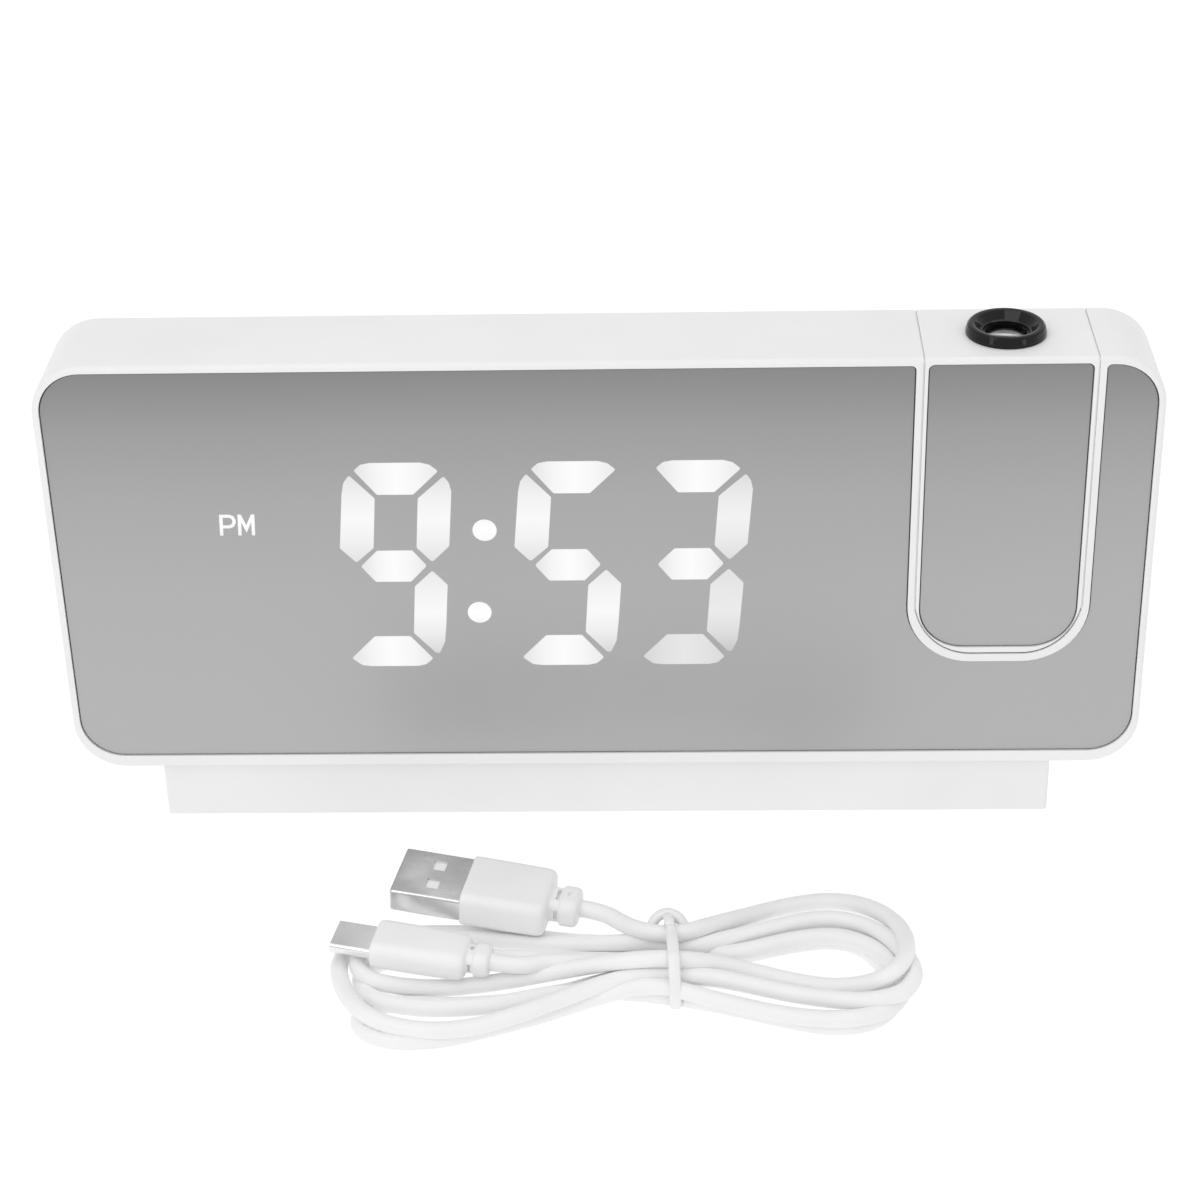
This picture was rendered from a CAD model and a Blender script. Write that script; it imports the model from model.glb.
"""Projection alarm clock: mirror front with a lit time, swinging projector arm, wedge stand and a tied USB cable."""
import math

import bmesh
import bpy
from mathutils import Matrix, Vector


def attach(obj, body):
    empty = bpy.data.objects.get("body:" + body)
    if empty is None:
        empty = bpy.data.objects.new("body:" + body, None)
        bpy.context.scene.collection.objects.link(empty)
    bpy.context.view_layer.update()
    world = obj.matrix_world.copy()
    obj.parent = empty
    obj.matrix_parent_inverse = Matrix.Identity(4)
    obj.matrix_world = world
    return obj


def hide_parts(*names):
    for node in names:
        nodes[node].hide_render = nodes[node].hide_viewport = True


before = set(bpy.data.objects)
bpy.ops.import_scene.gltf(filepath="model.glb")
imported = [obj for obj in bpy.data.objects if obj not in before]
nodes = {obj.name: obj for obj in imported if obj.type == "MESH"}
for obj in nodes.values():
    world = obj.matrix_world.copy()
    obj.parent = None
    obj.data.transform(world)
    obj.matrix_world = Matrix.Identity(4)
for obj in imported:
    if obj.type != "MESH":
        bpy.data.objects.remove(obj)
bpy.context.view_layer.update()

MM = 0.001
LEAN = math.radians(4.0)
CASE = Matrix.Translation((0, -17.2122 * MM, 52.6568 * MM)) @ Matrix.Rotation(-LEAN, 4, "X") @ Matrix.Scale(MM, 4)
A_AT = Matrix.Translation((-35.5 * MM, -47.6 * MM, 8.0 * MM)) @ Matrix.Rotation(math.radians(-11.0), 4, "Z") @ Matrix.Rotation(math.radians(3.1), 4, "Y") @ Matrix.Scale(MM, 4)
M_AT = Matrix.Translation((-45.1 * MM, -63.2 * MM, 8.25 * MM)) @ Matrix.Rotation(math.radians(-11.1), 4, "Z") @ Matrix.Rotation(math.radians(2.6), 4, "Y") @ Matrix.Scale(MM, 4)
FLOOR = Matrix.Scale(MM, 4)


# ------------------------------------------------------------------ camera
cam_data = bpy.data.cameras.new("camera")
cam_data.lens = 83.841
cam_data.sensor_width = 36.0
cam_data.sensor_fit = "HORIZONTAL"
cam_data.clip_start = 0.01
cam_data.clip_end = 50.0
cam = bpy.data.objects.new("camera", cam_data)
bpy.context.scene.collection.objects.link(cam)
right = Vector((0.99953381, 0.02041412, -0.02270294))
up = Vector((0.00742268, 0.5588062, 0.82926506))
back = Vector((0.02961526, -0.82904698, 0.55839416))
rot = Matrix((right, up, back)).transposed().to_4x4()
cam.matrix_world = Matrix.Translation((0.01448534, -0.42477254, 0.32040198)) @ rot
bpy.context.scene.camera = cam


# ------------------------------------------------------------------ node helpers for materials
class Nodes:
    def __init__(self, name):
        self.m = bpy.data.materials.new(name)
        self.m.use_nodes = True
        self.t = self.m.node_tree
        self.p = self.t.nodes["Principled BSDF"]
        self.out = self.t.nodes["Material Output"]

    def add(self, kind, **values):
        n = self.t.nodes.new(kind)
        for k, v in values.items():
            setattr(n, k, v)
        return n

    def link(self, a, b):
        self.t.links.new(a, b)

    def coords(self, which="Object", scale=(1, 1, 1), rotation=(0, 0, 0)):
        tc = self.add("ShaderNodeTexCoord")
        mp = self.add("ShaderNodeMapping")
        mp.inputs["Scale"].default_value = scale
        mp.inputs["Rotation"].default_value = rotation
        self.link(tc.outputs[which], mp.inputs["Vector"])
        return mp.outputs["Vector"]

    def noise(self, vec, scale, detail=3.0, rough=0.55):
        n = self.add("ShaderNodeTexNoise")
        n.inputs["Scale"].default_value = scale
        n.inputs["Detail"].default_value = detail
        n.inputs["Roughness"].default_value = rough
        self.link(vec, n.inputs["Vector"])
        return n.outputs["Fac"]

    def span(self, fac, lo, hi, a=0.0, b=1.0, smooth=False):
        r = self.add("ShaderNodeMapRange")
        if smooth:
            r.interpolation_type = "SMOOTHSTEP"
        r.inputs["From Min"].default_value = a
        r.inputs["From Max"].default_value = b
        r.inputs["To Min"].default_value = lo
        r.inputs["To Max"].default_value = hi
        self.link(fac, r.inputs["Value"])
        return r.outputs["Result"]

    def ramp(self, fac, stops):
        r = self.add("ShaderNodeValToRGB")
        while len(r.color_ramp.elements) < len(stops):
            r.color_ramp.elements.new(0.5)
        for e, (at, col) in zip(r.color_ramp.elements, stops):
            e.position = at
            e.color = (*col, 1.0)
        self.link(fac, r.inputs["Fac"])
        return r.outputs["Color"]

    def bump(self, height, strength, distance):
        b = self.add("ShaderNodeBump")
        b.inputs["Strength"].default_value = strength
        b.inputs["Distance"].default_value = distance
        self.link(height, b.inputs["Height"])
        self.link(b.outputs["Normal"], self.p.inputs["Normal"])
        return b


def plastic(name, dark, light, rough, spread=0.06, grain=2600.0, bump=0.05, depth=0.00003, mottled=60.0, coat=0.0, sub=0.0):
    n = Nodes(name)
    v = n.coords()
    n.link(n.ramp(n.noise(v, mottled, 2.0), [(0.35, dark), (0.65, light)]), n.p.inputs["Base Color"])
    g = n.noise(v, grain, 2.0)
    n.link(n.span(g, rough - spread / 2, rough + spread / 2, 0.3, 0.7), n.p.inputs["Roughness"])
    n.bump(g, bump, depth)
    if coat:
        n.p.inputs["Coat Weight"].default_value = coat
        n.p.inputs["Coat Roughness"].default_value = 0.12
    if sub:
        n.p.inputs["Subsurface Weight"].default_value = sub
        n.p.inputs["Subsurface Radius"].default_value = (0.0012, 0.0011, 0.001)
        n.p.inputs["Subsurface Scale"].default_value = 1.0
    return n.m


def metal(name, dark, light, rough, angle=0.0, stretch=12.0, grain=900.0):
    n = Nodes(name)
    n.p.inputs["Metallic"].default_value = 1.0
    v = n.coords(scale=(1.0, stretch, stretch), rotation=(0, 0, angle))
    g = n.noise(v, grain, 4.0, 0.6)
    n.link(n.ramp(g, [(0.3, dark), (0.7, light)]), n.p.inputs["Base Color"])
    n.link(n.span(g, rough - 0.05, rough + 0.07, 0.3, 0.7), n.p.inputs["Roughness"])
    n.bump(g, 0.08, 0.00001)
    return n.m


def g3(v):
    return (v, v, v * 1.002)


MAT = {}
MAT["case"] = plastic("case_white", g3(0.835), g3(0.865), 0.42, grain=3200.0, bump=0.06, mottled=35.0)
MAT["arm"] = plastic("arm_white", g3(0.84), g3(0.87), 0.40, grain=3200.0, bump=0.06, mottled=35.0)
MAT["stand"] = plastic("stand_white", g3(0.82), g3(0.85), 0.45, grain=2800.0, bump=0.08, mottled=30.0)
MAT["back"] = plastic("back_white", g3(0.80), g3(0.84), 0.55, grain=1600.0, bump=0.35, depth=0.00005, mottled=30.0)
MAT["button"] = plastic("button_grey", g3(0.60), g3(0.64), 0.42, grain=2600.0, bump=0.08)
MAT["cord"] = plastic("cord_white", g3(0.885), g3(0.91), 0.5, grain=1800.0, bump=0.10, depth=0.00004, mottled=90.0, sub=0.06)
MAT["overmould"] = plastic("overmould_white", g3(0.875), g3(0.90), 0.46, grain=2400.0, bump=0.08, mottled=80.0)
MAT["tie"] = plastic("tie_white", g3(0.86), g3(0.89), 0.38, grain=1500.0, bump=0.06, mottled=120.0)
MAT["black"] = plastic("black_gloss", g3(0.003), g3(0.006), 0.09, spread=0.03, grain=1500.0, bump=0.01)
MAT["black"].node_tree.nodes["Principled BSDF"].inputs["Specular IOR Level"].default_value = 0.3
MAT["dark"] = plastic("dark_inside", g3(0.02), g3(0.035), 0.5)
MAT["edge"] = plastic("mirror_edge", g3(0.055), g3(0.08), 0.3)
MAT["board"] = plastic("circuit_board", (0.01, 0.09, 0.035), (0.02, 0.14, 0.05), 0.35, grain=900.0)
MAT["pad"] = plastic("insulator_white", g3(0.93), g3(0.96), 0.4)
MAT["white_in"] = plastic("white_inside", g3(0.78), g3(0.83), 0.5)
MAT["rubber"] = plastic("rubber_grey", g3(0.30), g3(0.36), 0.75, grain=900.0, bump=0.3)
MAT["led"] = plastic("led_body", (0.8, 0.76, 0.5), (0.88, 0.84, 0.6), 0.3)
MAT["steel"] = metal("screw_steel", g3(0.36), g3(0.5), 0.28)
MAT["shell_a"] = metal("plug_shell_a", g3(0.60), g3(0.78), 0.22, angle=math.radians(11.0), stretch=1.6, grain=110.0)
MAT["shell_m"] = metal("plug_shell_m", g3(0.84), g3(0.95), 0.2, angle=math.radians(11.1), stretch=1.6, grain=120.0)
MAT["port"] = metal("port_shell", g3(0.45), g3(0.6), 0.25)


def mirror_material(name):
    """Half-silvered acrylic: a soft grey reflection, a little darker towards the top."""
    n = Nodes(name)
    tc = n.add("ShaderNodeTexCoord")
    sep = n.add("ShaderNodeSeparateXYZ")
    n.link(tc.outputs["Object"], sep.inputs[0])
    shade = n.ramp(n.span(sep.outputs["Z"], 0.0, 1.0, 0.0144, 0.0909), [(0.0, g3(0.455)), (0.2, g3(0.45)), (0.45, g3(0.44)), (0.68, g3(0.405)), (0.85, g3(0.345)), (1.0, g3(0.25))])
    n.link(shade, n.p.inputs["Base Color"])
    n.p.inputs["Metallic"].default_value = 0.75
    v = n.coords()
    n.link(n.span(n.noise(v, 14.0, 2.0), 0.40, 0.46, 0.35, 0.65), n.p.inputs["Roughness"])
    n.p.inputs["Coat Weight"].default_value = 0.25
    n.p.inputs["Coat Roughness"].default_value = 0.04
    n.p.inputs["Coat IOR"].default_value = 1.49
    n.bump(n.noise(v, 18.0, 1.0), 0.02, 0.00008)
    return n.m


MAT["mirror"] = mirror_material("front_mirror")
MAT["arm_mirror"] = mirror_material("arm_front_mirror")


def glass(name, rough=0.02):
    n = Nodes(name)
    n.p.inputs["Transmission Weight"].default_value = 1.0
    n.p.inputs["IOR"].default_value = 1.5
    v = n.coords()
    n.link(n.span(n.noise(v, 300.0, 2.0), rough, rough + 0.02, 0.3, 0.7), n.p.inputs["Roughness"])
    n.link(n.ramp(n.noise(v, 120.0), [(0.3, (0.9, 0.95, 0.95)), (0.7, (0.97, 1.0, 1.0))]), n.p.inputs["Base Color"])
    return n.m


MAT["glass"] = glass("lens_glass")


def lit(name, low, middle, high, axis="Z"):
    """A lit bar: brightest in its middle, a little greyer towards both ends."""
    n = Nodes(name)
    n.p.inputs["Base Color"].default_value = (0.02, 0.02, 0.02, 1)
    n.p.inputs["Specular IOR Level"].default_value = 0.15
    n.p.inputs["Roughness"].default_value = 0.4
    tc = n.add("ShaderNodeTexCoord")
    sep = n.add("ShaderNodeSeparateXYZ")
    n.link(tc.outputs["Generated"], sep.inputs[0])
    q = 0.35
    col = n.ramp(sep.outputs[axis], [
        (0.0, g3(low)), (0.25, g3(low * q + middle * (1 - q))), (0.5, g3(middle)), (0.75, g3(high * q + middle * (1 - q))), (1.0, g3(high)),
    ])
    n.link(col, n.p.inputs["Emission Color"])
    n.p.inputs["Emission Strength"].default_value = 1.0
    return n.m


MAT["lit_up"] = lit("lit_upright", 0.74, 0.92, 0.75)
MAT["lit_low"] = lit("lit_upright_low", 0.66, 0.92, 0.79)
MAT["lit_flat"] = lit("lit_level", 0.76, 0.95, 0.80, "X")
MAT["unit_up"] = lit("lit_unit_upright", 0.70, 0.86, 0.70)
MAT["unit_low"] = lit("lit_unit_low", 0.55, 0.80, 0.73)
MAT["unit_flat"] = lit("lit_unit_level", 0.66, 0.77, 0.68, "X")
MAT["lit_dot"] = lit("lit_dot", 0.90, 0.97, 0.92)


# ------------------------------------------------------------------ mesh helpers
def put(name, bm, mat, body="clock", at=FLOOR, smooth=35.0):
    bmesh.ops.transform(bm, matrix=at, verts=bm.verts)
    if at.determinant() < 0:
        bmesh.ops.reverse_faces(bm, faces=bm.faces)
    me = bpy.data.meshes.new(name)
    bm.to_mesh(me)
    bm.free()
    ob = bpy.data.objects.new(name, me)
    bpy.context.scene.collection.objects.link(ob)
    for m in mat if isinstance(mat, (list, tuple)) else [mat]:
        me.materials.append(m)
    if smooth:
        for p in me.polygons:
            p.use_smooth = True
        me.set_sharp_from_angle(angle=math.radians(smooth))
    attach(ob, body)
    return ob


def rounded(points, radii, steps=5):
    """A closed outline with its corners rounded."""
    out = []
    n = len(points)
    for i in range(n):
        p, a, b = Vector(points[i]), Vector(points[i - 1]), Vector(points[(i + 1) % n])
        r = radii[i] if isinstance(radii, (list, tuple)) else radii
        u, v = (a - p), (b - p)
        lu, lv = u.length, v.length
        u.normalize()
        v.normalize()
        ang = u.angle(v)
        if r <= 0 or ang > math.radians(176):
            out.append(p)
            continue
        cut = min(r / math.tan(ang / 2), 0.45 * lu, 0.45 * lv)
        p1, p2 = p + u * cut, p + v * cut
        for k in range(steps + 1):
            t = k / steps
            q1, q2 = p1.lerp(p, t), p.lerp(p2, t)
            out.append(q1.lerp(q2, t))
    return out


def plate(points, y0, y1, bevel=0.0):
    """An outline in X-Z made into a thin plate from y0 to y1 (millimetres, case frame)."""
    bm = bmesh.new()
    front = [bm.verts.new((p[0], y0, p[1])) for p in points]
    f = bm.faces.new(front)
    r = bmesh.ops.extrude_face_region(bm, geom=[f])
    for v in [e for e in r["geom"] if isinstance(e, bmesh.types.BMVert)]:
        v.co.y = y1
    bmesh.ops.recalc_face_normals(bm, faces=bm.faces)
    return bm


def ring_points(half_w, half_h, r, n=14):
    """A rounded rectangle in Y-Z."""
    r = min(r, half_w * 0.999, half_h * 0.999)
    pts = []
    for cy, cz, a0 in ((half_w - r, half_h - r, 0), (-half_w + r, half_h - r, 90), (-half_w + r, -half_h + r, 180), (half_w - r, -half_h + r, 270)):
        for k in range(n + 1):
            a = math.radians(a0 + 90.0 * k / n)
            pts.append((cy + r * math.cos(a), cz + r * math.sin(a)))
    return pts


def loft(sections, n=14, cap=True):
    """Rounded-rectangle sections (x, half width, half height, corner) joined into one skin."""
    bm = bmesh.new()
    rings = []
    for x, hw, hh, r in sections:
        rings.append([bm.verts.new((x, y, z)) for y, z in ring_points(hw, hh, r, n)])
    for a, b in zip(rings, rings[1:]):
        m = len(a)
        for i in range(m):
            bm.faces.new((a[i], a[(i + 1) % m], b[(i + 1) % m], b[i]))
    if cap:
        bm.faces.new(rings[0][::-1])
        bm.faces.new(rings[-1])
    bmesh.ops.recalc_face_normals(bm, faces=bm.faces)
    return bm


def tube_between(path, radius, closed=False, sides=14, squash=1.0):
    """A round (or flattened) tube along points."""
    bm = bmesh.new()
    P = [Vector(p) for p in path]
    n = len(P)
    rings = []
    ref = Vector((0, 0, 1))
    for i, p in enumerate(P):
        a = P[i - 1] if (closed or i) else P[0]
        b = P[(i + 1) % n] if (closed or i < n - 1) else P[-1]
        d = (b - a).normalized()
        s = d.cross(ref)
        if s.length < 1e-4:
            s = d.cross(Vector((0, 1, 0)))
        s.normalize()
        t = s.cross(d).normalized()
        r = radius[i] if isinstance(radius, (list, tuple)) else radius
        rings.append([bm.verts.new(p + s * (r * math.cos(2 * math.pi * k / sides)) + t * (r * squash * math.sin(2 * math.pi * k / sides))) for k in range(sides)])
    pairs = list(zip(rings, rings[1:])) + ([(rings[-1], rings[0])] if closed else [])
    for a, b in pairs:
        for k in range(sides):
            bm.faces.new((a[k], a[(k + 1) % sides], b[(k + 1) % sides], b[k]))
    if not closed:
        bm.faces.new(rings[0][::-1])
        bm.faces.new(rings[-1])
    bmesh.ops.recalc_face_normals(bm, faces=bm.faces)
    return bm


def smooth_line(points, per=8):
    """A Catmull-Rom line through a few hand-placed points of a small part."""
    P = [Vector(p) for p in points]
    P = [P[0] * 2 - P[1]] + P + [P[-1] * 2 - P[-2]]
    out = []
    for i in range(1, len(P) - 2):
        for k in range(per):
            t = k / per
            a, b, c, d = P[i - 1], P[i], P[i + 1], P[i + 2]
            out.append(0.5 * (2 * b + (c - a) * t + (2 * a - 5 * b + 4 * c - d) * t * t + (3 * b - a - 3 * c + d) * t**3))
    out.append(P[-2])
    return out


def carve(ob, cutters, name):
    """Cuts small blocks or rods out of a piece."""
    for c in cutters:
        me = bpy.data.meshes.new(name)
        c.to_mesh(me)
        c.free()
        tool = bpy.data.objects.new(name, me)
        bpy.context.scene.collection.objects.link(tool)
        mod = ob.modifiers.new("cut", "BOOLEAN")
        mod.operation = "DIFFERENCE"
        mod.solver = "EXACT"
        mod.object = tool
        deps = bpy.context.evaluated_depsgraph_get()
        new = bpy.data.meshes.new_from_object(ob.evaluated_get(deps))
        ob.modifiers.remove(mod)
        old = ob.data
        ob.data = new
        bpy.data.meshes.remove(old)
        bpy.data.objects.remove(tool)
        bpy.data.meshes.remove(me)
    for p in ob.data.polygons:
        p.use_smooth = True
    ob.data.set_sharp_from_angle(angle=math.radians(38))
    return ob


def block(x0, y0, z0, x1, y1, z1, at):
    bm = bmesh.new()
    bmesh.ops.create_cube(bm, size=1.0)
    bmesh.ops.scale(bm, vec=(x1 - x0, y1 - y0, z1 - z0), verts=bm.verts)
    bmesh.ops.translate(bm, vec=((x0 + x1) / 2, (y0 + y1) / 2, (z0 + z1) / 2), verts=bm.verts)
    bmesh.ops.transform(bm, matrix=at, verts=bm.verts)
    return bm


def rod(x, y, z0, z1, r, at):
    bm = bmesh.new()
    bmesh.ops.create_cone(bm, cap_ends=True, segments=24, radius1=r, radius2=r, depth=z1 - z0)
    bmesh.ops.translate(bm, vec=(x, y, (z0 + z1) / 2), verts=bm.verts)
    bmesh.ops.transform(bm, matrix=at, verts=bm.verts)
    return bm


# ------------------------------------------------------------------ the cable, from the large plug to the small one (millimetres)
ROUTE = [
    (-3.25, -53.87, 6.22), (0.67, -54.63, 6), (4.1, -58.2, 6.2), (8.1, -61.3, 7.2), (12, -62.4, 7.6), (16, -60.5, 7),
    (20, -56.7, 5.2), (25, -52.3, 3), (30.1, -48.8, 1.7), (35.1, -47.2, 1.6), (40.1, -46.5, 1.6), (45, -48.9, 2.8),
    (49.1, -54, 4.8), (51.6, -60.4, 6.6), (52, -65.8, 7.4), (50.8, -69.9, 7.5), (48.1, -72.6, 7.1), (44.8, -71.7, 4.6),
    (40, -70.3, 2.6), (35.1, -68.4, 1.7), (30.1, -66.8, 1.7), (25, -65.8, 2.6), (20, -66.3, 4.6), (16, -67.8, 6.6),
    (12, -68.5, 7.6), (8.1, -68.5, 7.6), (4.1, -68.3, 7), (0.1, -68.2, 6.2), (-4.9, -68.3, 5.2), (-9.9, -68.5, 4.2),
    (-15, -68.8, 3.2), (-20, -69.2, 2.6), (-25.1, -69.8, 2.4), (-30.1, -70.1, 2.6), (-34.9, -70.5, 3.6), (-38.8, -70, 4.4),
    (-41, -67.9, 4.8), (-41.3, -64.9, 4.8), (-39.2, -62.1, 4.6), (-34.8, -60.5, 4.4), (-29.8, -59.6, 4.2), (-24.9, -58.6, 3.4),
    (-19.1, -56.9, 1.8), (-15.1, -57.2, 1.6), (-10.1, -57.7, 1.6), (-5, -58.5, 2.2), (0, -59.6, 3.2), (5, -60.4, 4.2),
    (9, -60.6, 4.6), (12, -61.6, 4.6), (16, -62.2, 4.5), (20, -60.4, 4.4), (25, -58.6, 4.4), (29.9, -56.8, 4.4),
    (34.9, -55.1, 4.4), (39.9, -54.5, 4.4), (44.8, -56.1, 4.6), (48.6, -59.5, 4.8), (51.6, -64, 5), (52.9, -68.2, 5.2),
    (52.7, -71.5, 5.2), (50.8, -74.3, 5), (46.8, -75.8, 4.8), (41.9, -75.9, 4.6), (34.9, -74.4, 4.4), (29.9, -73, 4.4),
    (25, -71.3, 4.4), (20, -69.8, 4.5), (16, -69.5, 4.6), (12, -69, 4.6), (8, -69.1, 4.6), (4.1, -70, 4.6),
    (0.1, -71.6, 4.6), (-4.9, -74.5, 4.8), (-9.8, -77.7, 5.2), (-14.8, -80.3, 5.2), (-19.8, -81.7, 4.6), (-24.9, -82.1, 4),
    (-29.9, -81.5, 3.6), (-34.8, -80.7, 4), (-38.2, -79.3, 4.6), (-41.3, -76, 4.6), (-43.3, -71.8, 4.4), (-44.5, -67.4, 4.2),
    (-44.3, -62.7, 3.4), (-42.1, -58.1, 2.2), (-38.2, -55.6, 1.6), (-32.2, -55, 1.6), (-25.2, -54.9, 1.6), (-18.1, -55.2, 1.6),
    (-12.1, -56, 1.6), (-6.1, -57.2, 1.6), (-0.1, -57.7, 1.6), (6, -58.3, 1.6), (12, -59.2, 1.6), (16, -60.7, 1.8),
    (20, -62.5, 3), (25, -62.4, 4), (29.9, -60.8, 4.2), (34.9, -59.4, 4.2), (39.9, -58.9, 4.2), (44.9, -60.6, 4.2),
    (48.2, -63.3, 3.6), (50.3, -66.3, 2.6), (51.1, -69.9, 2.2), (50.1, -73.6, 2.4), (47, -77.3, 3.2), (41.9, -79.6, 4),
    (35.9, -79.5, 4), (30, -77.7, 3.4), (25, -76.1, 3.4), (20, -74.3, 3.4), (16, -73.4, 4), (12, -71.6, 4),
    (8, -71.3, 4), (4, -71.5, 3.4), (-0, -72.2, 2.6), (-5.1, -73.7, 1.8), (-10.1, -75.8, 1.6), (-15.1, -77.8, 1.6),
    (-20.1, -79.6, 1.6), (-25.2, -81.4, 1.6), (-31.2, -82.2, 1.6), (-35.2, -81.8, 1.6), (-38.7, -80.1, 1.6), (-40.4, -77.5, 1.6),
    (-39.8, -74.7, 1.6), (-37.2, -73.1, 1.6), (-32.2, -72.9, 1.6), (-25.2, -73.5, 1.6), (-18.1, -73, 1.6), (-12.1, -72.1, 1.6),
    (-6.1, -70.3, 1.6), (-0.1, -67.7, 1.6), (6, -65.7, 1.6), (12, -64.3, 1.6), (16, -63.7, 1.6), (20, -62.5, 1.6),
    (25, -60.7, 1.6), (30.1, -59, 1.6), (35.1, -57.6, 1.6), (40.1, -57, 1.6), (44.6, -58.7, 1.6), (47.4, -62.2, 1.6),
    (49, -66.5, 1.6), (49.6, -70.7, 1.6), (48.9, -74.5, 1.6), (46.1, -77.3, 1.6), (42.1, -78.8, 1.6), (37.1, -78.6, 1.6),
    (31.1, -77, 1.6), (25, -74.9, 1.6), (20, -73.3, 1.6), (16, -72.2, 1.6), (12, -71.2, 1.6), (8, -70.6, 1.6),
    (3, -69.9, 1.6), (-2.1, -69.7, 1.8), (-7.1, -71, 2.2), (-12, -73, 2.8), (-18, -75.1, 3.2), (-24.9, -76.1, 3.4),
    (-30.9, -75.8, 3.4), (-35.9, -74.7, 3.4), (-39.3, -72.5, 3.2), (-40.9, -68.6, 2.4), (-40.5, -64.7, 1.8), (-37.7, -62.2, 1.6),
    (-32.2, -60.9, 1.6), (-25.2, -60.7, 1.6), (-18.1, -61.3, 1.6), (-10.1, -61.9, 1.6), (-0.1, -62.1, 1.6), (7, -62, 1.6),
    (12, -62, 1.6), (16, -60.3, 1.6), (20, -57.6, 1.6), (25, -55.6, 1.6), (30.1, -53.8, 1.6), (35.1, -52.2, 1.6),
    (40.1, -51.8, 1.6), (44.9, -53.2, 1.6), (48.1, -56.6, 1.6), (50.4, -61.2, 1.6), (50.8, -65.7, 1.6), (49.8, -69.7, 1.6),
    (46.6, -72.1, 1.6), (42.1, -72.8, 1.6), (35.1, -71.5, 1.6), (30.1, -70.1, 1.6), (25, -68.4, 1.6), (20, -66.9, 1.6),
    (16, -66.7, 1.6), (12, -67.1, 1.6), (8, -66.2, 2.5), (5, -65.3, 3.5), (0.1, -65.7, 4.6), (-4.9, -66.7, 5.4),
    (-9.8, -67.3, 6), (-13.05, -69.5, 6.77), (-17.36, -68.64, 6.97),
]
line = bpy.data.curves.new("cable", "CURVE")
line.dimensions = "3D"
line.resolution_u = 8
line.bevel_depth = 1.5 * MM
line.bevel_resolution = 6
line.use_fill_caps = True
sp = line.splines.new("NURBS")
sp.points.add(len(ROUTE) - 1)
for pt, co in zip(sp.points, ROUTE):
    pt.co = (co[0] * MM, co[1] * MM, co[2] * MM, 1.0)
sp.order_u = 3
sp.use_endpoint_u = True
line.materials.append(MAT["cord"])
cable = bpy.data.objects.new("cable", line)
bpy.context.scene.collection.objects.link(cable)
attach(cable, "clock")
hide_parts("cable_lead_a", "cable_lead_b", "cable_hank")

# plug bodies: soft edged, with a stepped and slotted strain relief
a_body = put(
    "usb_a_grip",
    loft([
        (12.42, 6.05, 3.15, 1.5), (12.6, 6.3, 3.38, 1.7), (13.4, 6.4, 3.45, 1.8), (20.0, 6.38, 3.45, 1.9), (25.6, 6.3, 3.42, 1.9), (26.5, 6.2, 3.32, 1.9),
        (27.0, 5.95, 3.1, 1.8), (27.25, 5.5, 2.7, 1.7), (27.32, 4.6, 2.55, 1.6), (27.34, 3.0, 2.45, 1.5), (27.5, 2.85, 2.35, 1.5), (28.9, 2.8, 2.3, 1.5),
        (29.15, 2.85, 2.35, 1.5), (29.35, 3.2, 2.65, 1.8), (29.7, 3.32, 2.8, 1.9), (31.6, 3.3, 2.78, 1.9), (32.15, 3.15, 2.6, 1.9), (32.45, 2.8, 2.25, 1.8), (32.52, 1.52, 1.52, 1.5), (33.0, 1.5, 1.5, 1.49),
    ]),
    MAT["overmould"], at=A_AT,
)
carve(a_body, [block(28.35, -1.35, 1.5, 29.0, 1.35, 3.2, A_AT), block(28.35, -3.4, -1.0, 29.0, -2.3, 0.9, A_AT), block(28.35, 2.3, -1.0, 29.0, 3.4, 0.9, A_AT), block(30.3, -0.55, 2.45, 30.9, 0.55, 3.3, A_AT)], "slit")
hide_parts("usb_a_overmould")
m_body = put(
    "micro_usb_grip",
    loft([
        (7.06, 3.9, 2.15, 1.4), (7.3, 4.2, 2.5, 1.7), (8.2, 4.38, 2.72, 2.0), (15.0, 4.4, 2.78, 2.2), (21.6, 4.3, 2.75, 2.2), (22.5, 4.2, 2.66, 2.2),
        (23.05, 3.95, 2.45, 2.1), (23.3, 3.5, 2.2, 1.9), (23.36, 2.7, 2.05, 1.6), (23.5, 2.5, 1.98, 1.6), (24.5, 2.45, 1.95, 1.6), (24.65, 2.6, 2.1, 1.7),
        (24.8, 2.8, 2.34, 1.9), (25.1, 2.86, 2.42, 2.0), (26.5, 2.82, 2.38, 2.0), (27.0, 2.65, 2.2, 1.9), (27.25, 2.2, 1.9, 1.7), (27.32, 1.52, 1.52, 1.5), (28.4, 1.5, 1.5, 1.49),
    ]),
    MAT["overmould"], at=M_AT,
)
carve(m_body, [rod(24.0, 0.5, 1.2, 3.0, 0.42, M_AT), block(23.8, -3.4, -0.9, 24.3, -1.9, 0.7, M_AT), block(23.8, 1.9, -0.9, 24.3, 3.4, 0.7, M_AT)], "slit")
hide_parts("micro_usb_overmould")

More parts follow.
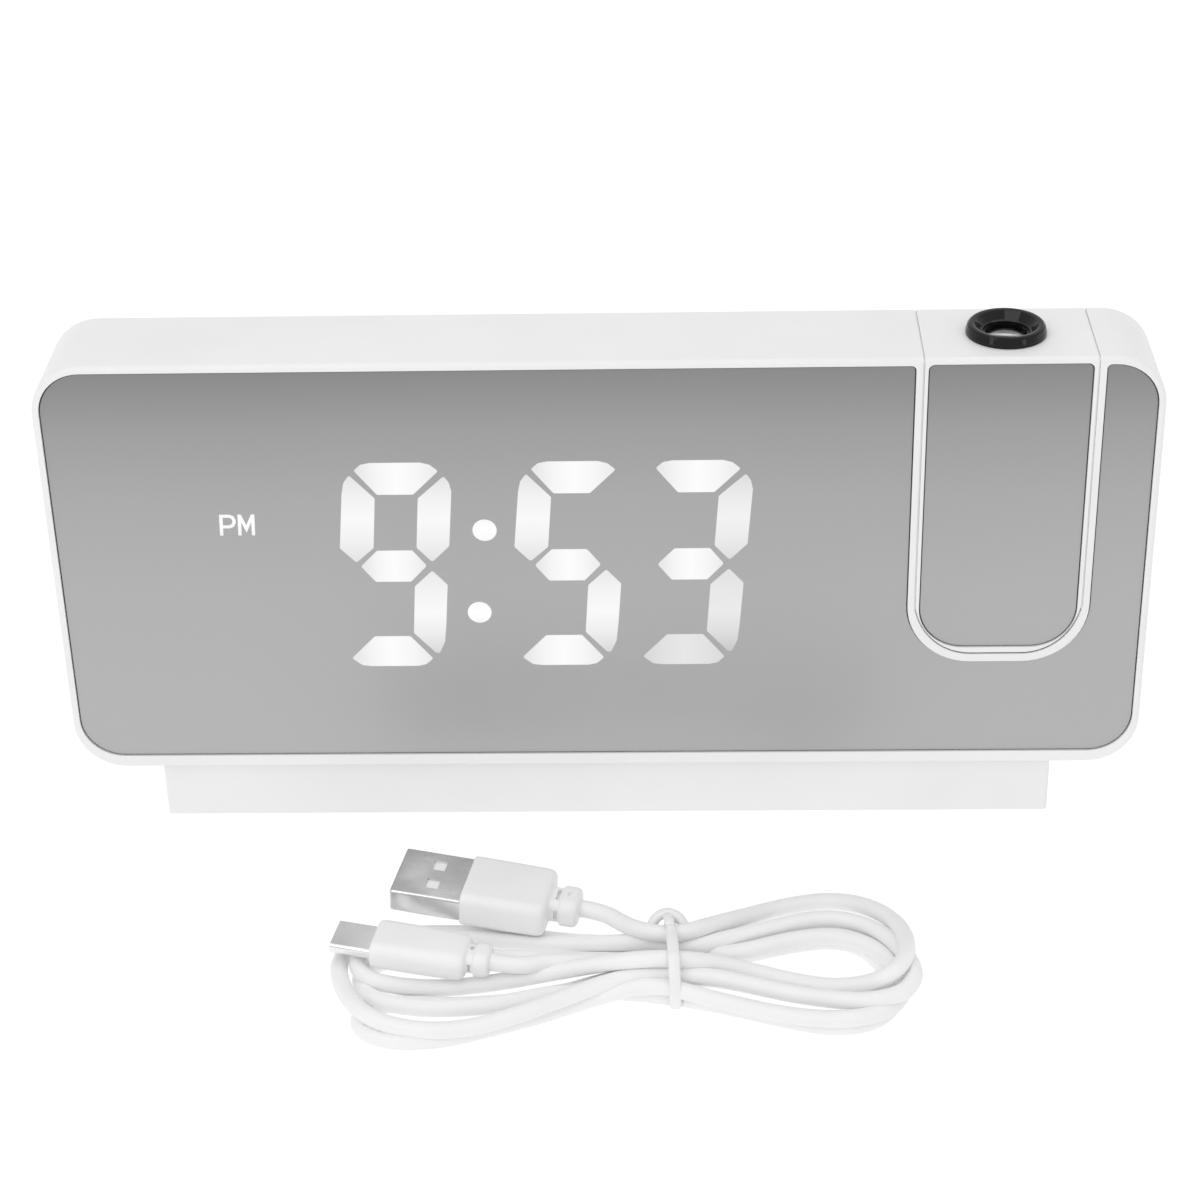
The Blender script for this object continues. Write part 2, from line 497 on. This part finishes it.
shell = put(
    "usb_a_shell_skin",
    loft([(0.0, 5.78, 2.05, 0.3), (0.12, 5.93, 2.18, 0.42), (0.35, 6.0, 2.25, 0.48), (12.6, 6.0, 2.25, 0.48)], n=6),
    MAT["shell_a"], at=A_AT,
)
carve(shell, [block(-0.5, -5.68, -1.93, 12.2, 5.68, 1.93, A_AT), block(5.65, 1.25, 1.5, 7.95, 3.65, 3.0, A_AT), block(5.65, -3.65, 1.5, 7.95, -1.25, 3.0, A_AT), block(5.65, 1.25, -3.0, 7.95, 3.65, -1.5, A_AT), block(5.65, -3.65, -3.0, 7.95, -1.25, -1.5, A_AT)], "window")
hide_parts("usb_a_shell")
for side, y in (("near", -2.45), ("far", 2.45)):
    put("usb_a_pad_" + side, loft([(5.0, 1.6, 0.13, 0.05), (8.6, 1.6, 0.13, 0.05)], n=2), MAT["pad"], at=A_AT @ Matrix.Translation((0, y, 1.78)))

# twist of soft tie round the waist of the bundle
waist = [(-60.6, 9.15), (-65.5, 9.35), (-69.6, 9.1), (-72.0, 6.6), (-73.45, 4.6), (-73.5, 1.5), (-72.4, 0.35), (-66.0, 0.3), (-59.2, 0.3), (-57.75, 1.4), (-58.2, 4.4), (-59.4, 7.6)]
bm = bmesh.new()
loop = rounded([(y, z) for y, z in waist], 1.4, 4)
cy = sum(p.x for p in loop) / len(loop)
cz = sum(p.y for p in loop) / len(loop)
prof = [(-1.0, 0.0), (-0.95, 0.32), (-0.7, 0.48), (0.0, 0.55), (0.7, 0.48), (0.95, 0.32), (1.0, 0.0), (0.7, -0.12), (0.0, -0.15), (-0.7, -0.12)]
rings = []
m = len(loop)
for i, p in enumerate(loop):
    a, b = loop[i - 1], loop[(i + 1) % m]
    d = (b - a).normalized()
    nrm = Vector((d.y, -d.x))
    if nrm.dot(p - Vector((cy, cz))) < 0:
        nrm = -nrm
    wide = 0.72 if (p.y > 8.6 and p.x > -62.5) else 1.0
    shift = -0.9 * max(0.0, min(1.0, (p.x + 73.0) / 14.0)) if p.y > 3 else 0.0
    rings.append([bm.verts.new((12.75 + shift + u * wide, p.x + nrm.x * w, max(0.12, p.y + nrm.y * w))) for u, w in prof])
for i in range(m):
    a, b = rings[i], rings[(i + 1) % m]
    for k in range(len(prof)):
        bm.faces.new((a[k], a[(k + 1) % len(prof)], b[(k + 1) % len(prof)], b[k]))
bmesh.ops.recalc_face_normals(bm, faces=bm.faces)
band = put("tie_band", bm, MAT["tie"], smooth=60.0)
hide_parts("cable_tie")
arch = smooth_line([(8.6, -60.3, 6.2), (9.0, -59.2, 7.6), (10.0, -58.6, 8.6), (11.6, -58.4, 9.0), (13.2, -58.9, 8.6), (14.2, -59.7, 7.5), (14.6, -60.7, 6.4)])
put("tie_loop", tube_between(arch, [0.85 + 0.15 * math.sin(math.pi * i / (len(arch) - 1)) for i in range(len(arch))], squash=0.85), MAT["tie"], smooth=60.0)
knot = smooth_line([(10.9, -58.7, 8.9), (11.3, -59.6, 9.5), (11.7, -61.0, 9.8), (11.8, -62.6, 9.7)], 5)
put("tie_knot", tube_between(knot, [0.45, 0.55, 0.6, 0.62, 0.66, 0.7, 0.74, 0.78, 0.8, 0.82, 0.84, 0.86, 0.86, 0.84, 0.8, 0.7], squash=0.7), MAT["tie"], smooth=60.0)

# ------------------------------------------------------------------ front mirrors with a cut and darker edge
def mirror_copy(node, name, mat, body):
    src = nodes[node]
    bm = bmesh.new()
    bm.from_mesh(src.data)
    bmesh.ops.remove_doubles(bm, verts=bm.verts, dist=1e-7)
    bmesh.ops.dissolve_limit(bm, angle_limit=math.radians(0.5), verts=bm.verts, edges=bm.edges)
    n_front = (CASE.to_3x3() @ Vector((0, -1, 0))).normalized()
    bm.normal_update()
    front = max(bm.faces, key=lambda f: f.normal.dot(n_front) * f.calc_area())
    edges = list(front.edges)
    res = bmesh.ops.bevel(bm, geom=edges, offset=0.17 * MM, segments=1, affect="EDGES", profile=0.5)
    bm.normal_update()
    for f in bm.faces:
        if f.normal.dot(n_front) < 0.999:
            f.material_index = 1
    me = bpy.data.meshes.new(name)
    bm.to_mesh(me)
    bm.free()
    ob = bpy.data.objects.new(name, me)
    bpy.context.scene.collection.objects.link(ob)
    me.materials.append(mat)
    me.materials.append(MAT["edge"])
    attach(ob, body)
    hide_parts(node)
    return ob


mirror_copy("mirror_lens", "mirror_face", MAT["mirror"], "clock")
mirror_copy("arm_mirror", "arm_mirror_face", MAT["arm_mirror"], "projector_arm")

# ------------------------------------------------------------------ shallow lip in the running gap beside the arm
lip_y, lip_u, pivot_y, pivot_u = -0.12, 39.25, 10.075, -5.5
gap_l, gap_r = 55.1, 84.3
for side, x in (("left", gap_l), ("right", gap_r)):
    bm = bmesh.new()
    path = [(lip_y, pivot_u - 4.6), (lip_y, lip_u), (20.0, lip_u), (20.0, lip_u - 0.5), (lip_y + 0.5, lip_u - 0.5), (lip_y + 0.5, pivot_u - 4.6)]
    a = [bm.verts.new((x - 0.12, y, u)) for y, u in path]
    b = [bm.verts.new((x + 0.12, y, u)) for y, u in path]
    bm.faces.new(a)
    bm.faces.new(b[::-1])
    for k in range(len(path)):
        bm.faces.new((a[k], b[k], b[(k + 1) % len(path)], a[(k + 1) % len(path)]))
    bmesh.ops.recalc_face_normals(bm, faces=bm.faces)
    put("gap_lip_" + side, bm, MAT["case"], at=CASE, smooth=None)
mid_x, flat, rad, top = 69.7, 4.45, 12.35, 16.1
prof = []
for sgn in (-1, 1):
    cx, cr = mid_x + sgn * flat, top - rad
    reach = (gap_r - gap_l) / 2 - flat
    a1 = math.asin(min(1.0, reach / rad))
    arc = [(cx + sgn * rad * math.sin(a1 * t / 12), cr + rad * math.cos(a1 * t / 12)) for t in range(13)]
    prof += arc[::-1] if sgn < 0 else arc
bm = bmesh.new()
grid = []
reach_y = pivot_y - lip_y
for i, (x, r) in enumerate(prof):
    p0, p1 = prof[max(0, i - 1)], prof[min(len(prof) - 1, i + 1)]
    d = Vector((p1[0] - p0[0], p1[1] - p0[1])).normalized()
    nx, nr = -d.y, d.x
    row = []
    for w in (-0.07, 0.07):
        xx, rr = x + nx * w, r + nr * w
        a0 = math.asin(min(1.0, reach_y / rr))
        row.append([bm.verts.new((xx, pivot_y - rr * math.sin(a0 - 0.05 * k), pivot_u - rr * math.cos(a0 - 0.05 * k))) for k in range(3)])
    grid.append(row[0] + row[1][::-1])
n = len(grid[0])
for g, h in zip(grid, grid[1:]):
    for k in range(n):
        bm.faces.new((g[k], g[(k + 1) % n], h[(k + 1) % n], h[k]))
bm.faces.new(grid[0][::-1])
bm.faces.new(grid[-1])
bmesh.ops.recalc_face_normals(bm, faces=bm.faces)
put("gap_lip_end", bm, MAT["case"], at=CASE, smooth=None)

# ------------------------------------------------------------------ lit time and PM sign, flush on the mirror's face
SEG = {
    "a": ([(-41.83, 19.5), (-40.6, 20.62), (-39.0, 20.94), (-30.3, 20.94), (-28.7, 20.5), (-27.28, 19.28), (-31.8, 14.78), (-38.06, 14.78)], [0.4, 0.8, 0.6, 0.6, 0.8, 0.4, 0.5, 0.5]),
    "f": ([(-42.7, 18.6), (-43.75, 17.1), (-44.17, 15.0), (-45.17, 4.33), (-42.44, 1.44), (-39.28, 4.33), (-38.5, 14.06)], [0.35, 1.2, 0.8, 0.5, 0.5, 0.5, 0.6]),
    "b": ([(-26.39, 18.28), (-25.55, 17.0), (-25.2, 15.3), (-26.06, 4.6), (-29.17, 1.44), (-31.78, 4.33), (-31.06, 14.0)], [0.35, 1.2, 0.8, 0.5, 0.5, 0.5, 0.6]),
    "g": ([(-41.72, 0.67), (-38.72, 3.78), (-32.56, 3.78), (-30.17, 0.72), (-33.06, -2.44), (-39.28, -2.44)], 0.5),
    "c": ([(-29.28, -0.28), (-26.72, -3.17), (-27.33, -11.1), (-27.75, -14.8), (-28.75, -17.05), (-29.45, -17.0), (-33.17, -12.9), (-32.5, -3.44)], [0.4, 0.5, 1.2, 1.2, 0.3, 0.3, 0.5, 0.5]),
    "d": ([(-44.5, -18.06), (-42.7, -19.5), (-41.0, -19.72), (-32.8, -19.72), (-31.3, -19.4), (-30.0, -18.2), (-33.83, -13.56), (-40.17, -13.56)], [0.4, 0.8, 0.6, 0.6, 0.8, 0.4, 0.5, 0.5]),
}
FRONT = -0.05
for digit, shift, bars in (("hour", 0.0, "abcdfg"), ("ten", 30.45, "acdfg"), ("unit", 51.85, "abcdg")):
    for b in bars:
        pts, rad = SEG[b]
        pts = [(x + shift, z) for x, z in pts]
        mat = MAT["lit_flat" if b in "adg" else "lit_low" if b == "c" else "lit_up"]
        if digit == "unit" and b != "g":
            mat = MAT[{"a": "lit_flat", "b": "unit_up", "c": "unit_low", "d": "unit_flat"}[b]]
        put("lit_%s_%s" % (digit, b), plate(rounded(pts, rad, 4), FRONT, 0.02), mat, at=CASE, smooth=None)
for i, (x, z) in enumerate(((-19.78, 7.67), (-21.33, -8.78))):
    pts = [(x + 2.1 * math.cos(math.radians(t)), z + 2.1 * math.sin(math.radians(t))) for t in range(0, 360, 8)]
    put("lit_dot_%d" % i, plate(pts, FRONT, 0.02), MAT["lit_dot"], at=CASE, smooth=None)


def stroke(path, w):
    """One pen stroke of even width with square ends, in X-Z."""
    P = [Vector(p) for p in path]
    lft, rgt = [], []
    for i, p in enumerate(P):
        d1 = (p - P[i - 1]).normalized() if i else (P[1] - P[0]).normalized()
        d2 = (P[i + 1] - p).normalized() if i < len(P) - 1 else d1
        t = (d1 + d2).normalized()
        nrm = Vector((-t.y, t.x))
        k = w / 2 / max(0.35, nrm.dot(Vector((-d1.y, d1.x))))
        lft.append(p + nrm * k)
        rgt.append(p - nrm * k)
    return lft + rgt[::-1]


def slant(p):
    return (p[0] + 0.04 * (p[1] - 7.05), p[1])


P0 = -65.75
p_path = [(P0, 10.85), (P0 + 1.55, 10.85), (P0 + 2.15, 10.6), (P0 + 2.4, 10.05), (P0 + 2.4, 9.55), (P0 + 2.15, 9.0), (P0 + 1.55, 8.75), (P0 + 0.2, 8.75)]
M0 = -62.4
for name, path in (
    ("p_stem", [(P0 + 0.15, 7.05), (P0 + 0.15, 11.15)]),
    ("p_bowl", p_path),
    ("m_left", [(M0, 7.05), (M0, 11.15)]),
    ("m_right", [(M0 + 2.35, 7.05), (M0 + 2.35, 11.15)]),
    ("m_middle", [(M0 + 0.05, 11.0), (M0 + 1.17, 8.3), (M0 + 2.3, 11.0)]),
):
    put("pm_" + name, plate(stroke([slant(p) for p in path], 0.58), FRONT, 0.02), MAT["lit_dot"], at=CASE, smooth=None)

# ------------------------------------------------------------------ finishes of the CAD pieces
FINISH = {
    "case": ["front_housing"],
    "back": ["rear_cover", "battery_door", "arm_rear_cover", "base_plate"],
    "stand": ["stand_base"],
    "arm": ["arm_housing"],
    "button": ["button_set", "button_alarm", "button_down", "button_up", "button_light"],
    "white_in": ["diffuser_film", "segment_reflector", "usb_a_tongue"],
    "board": ["display_board", "power_board", "projector_board"],
    "led": ["display_leds", "projector_led"],
    "dark": ["control_chip", "board_components", "tact_switches", "battery_holder", "buzzer", "power_socket_tongue", "lens_barrel", "micro_usb_tongue", "projector_lead", "arm_lead"],
    "black": ["focus_ring", "lens_cell"],
    "steel": ["board_screws", "battery_door_screw", "rear_screws", "base_screws", "stand_screws", "arm_screws", "coin_cell", "battery_contact", "pivot_pin_left", "pivot_pin_right"],
    "port": ["power_socket_shell"],
    "shell_a": ["usb_a_shell"],
    "shell_m": ["micro_usb_shell"],
    "glass": ["condenser_lens", "projection_slide", "objective_lens"],
    "rubber": ["rubber_feet", "friction_washer"],
    "mirror": ["mirror_lens"],
    "arm_mirror": ["arm_mirror"],
    "tie": ["cable_tie"],
    "overmould": ["usb_a_overmould", "micro_usb_overmould"],
    "cord": ["cable_lead_a", "cable_lead_b", "cable_hank"],
}
for key, names in FINISH.items():
    for name in names:
        me = nodes[name].data
        me.materials.clear()
        me.materials.append(MAT[key])

# ------------------------------------------------------------------ floor and light
bm = bmesh.new()
bmesh.ops.create_grid(bm, x_segments=8, y_segments=8, size=4.0)
me = bpy.data.meshes.new("floor")
bm.to_mesh(me)
bm.free()
floor = bpy.data.objects.new("floor", me)
bpy.context.scene.collection.objects.link(floor)
fn = Nodes("floor_white")
fn.p.inputs["Base Color"].default_value = (0.06, 0.06, 0.06, 1)
fn.p.inputs["Roughness"].default_value = 0.9
fn.p.inputs["Specular IOR Level"].default_value = 0.0
fn.p.inputs["Emission Color"].default_value = (1, 1, 1, 1)
fn.p.inputs["Emission Strength"].default_value = 1.0
me.materials.append(fn.m)

world = bpy.data.worlds.new("studio")
bpy.context.scene.world = world
world.use_nodes = True
bg = world.node_tree.nodes["Background"]
bg.inputs["Color"].default_value = (1, 1, 1, 1)
bg.inputs["Strength"].default_value = 0.72


def area(name, loc, target, size, power):
    l = bpy.data.lights.new(name, "AREA")
    l.shape = "RECTANGLE"
    l.size, l.size_y = size
    l.energy = power
    o = bpy.data.objects.new(name, l)
    bpy.context.scene.collection.objects.link(o)
    o.location = loc
    o.rotation_euler = (Vector(target) - Vector(loc)).to_track_quat("-Z", "Y").to_euler()
    return o


area("key", (-0.5, -0.7, 1.3), (0, 0, 0.03), (1.2, 0.9), 4.4)
area("top", (0.3, 0.5, 1.5), (0, 0, 0.05), (1.4, 1.0), 3.4)

area("strip_left", (-0.58, -0.62, 0.42), (0.07, -0.01, 0.09), (0.16, 0.5), 0.34)
area("strip_right", (0.72, -0.62, 0.42), (0.07, -0.01, 0.09), (0.16, 0.5), 0.34)

scene = bpy.context.scene
scene.view_settings.view_transform = "Standard"
scene.view_settings.look = "None"
scene.view_settings.exposure = 0.0
scene.view_settings.gamma = 1.0
